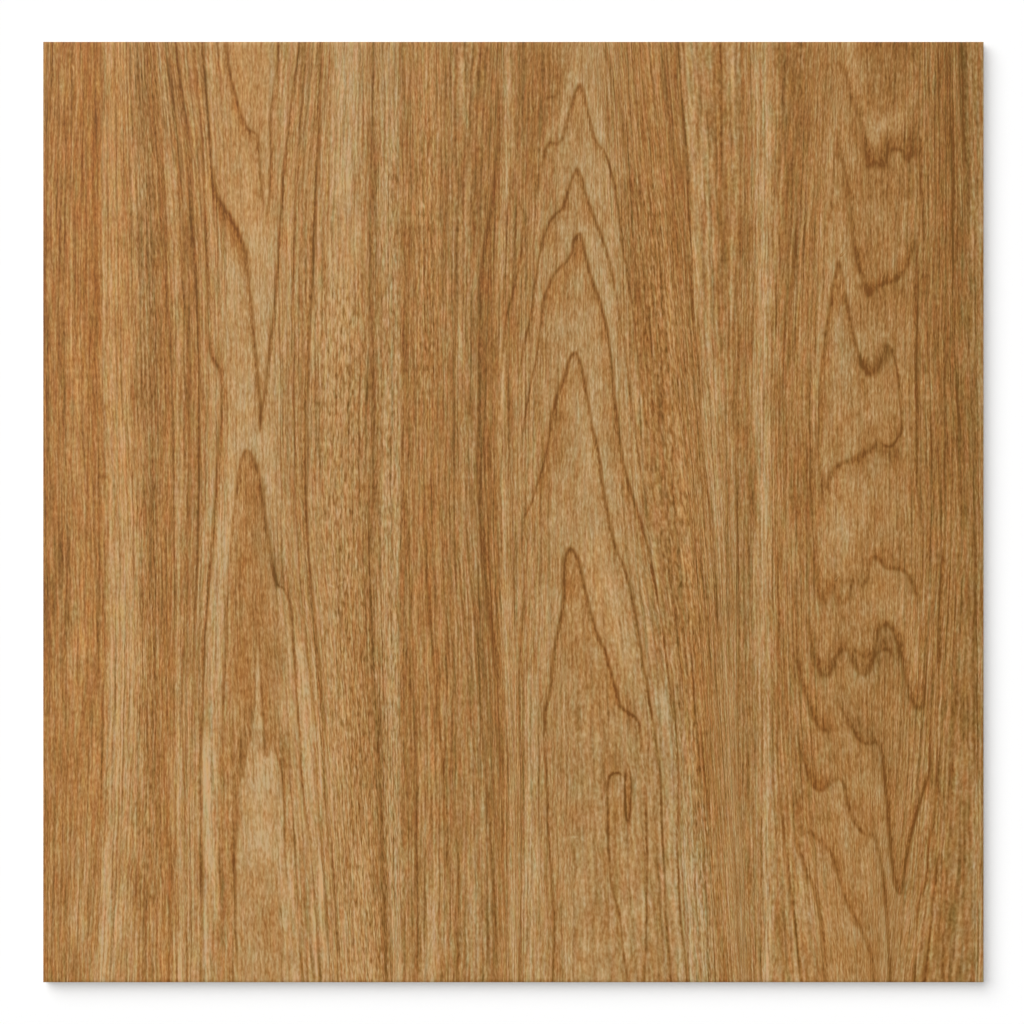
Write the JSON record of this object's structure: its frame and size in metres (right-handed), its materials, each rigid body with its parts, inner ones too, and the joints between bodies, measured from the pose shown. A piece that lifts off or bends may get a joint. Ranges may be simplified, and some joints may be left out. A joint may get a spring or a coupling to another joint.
{
  "type": "wood-look porcelain tile",
  "caption": "Square glazed porcelain floor tile with a printed wood-grain face, ground square edges and a back of low crossing ribs that key into tile adhesive.",
  "frame": {"origin": "middle of the back, on the plane of the ribs that the tile lies on", "axes": "+Z out of the glazed face, +Y along the printed grain and up in the picture, +X across the grain"},
  "size_m": [0.6, 0.6, 0.0095],
  "materials": {
    "glazed_porcelain": "satin glaze printed with brown wood grain; unglazed buff body on the edges and back"
  },
  "bodies": {
    "root": {"tile": "glazed_porcelain"}
  },
  "joints": []
}
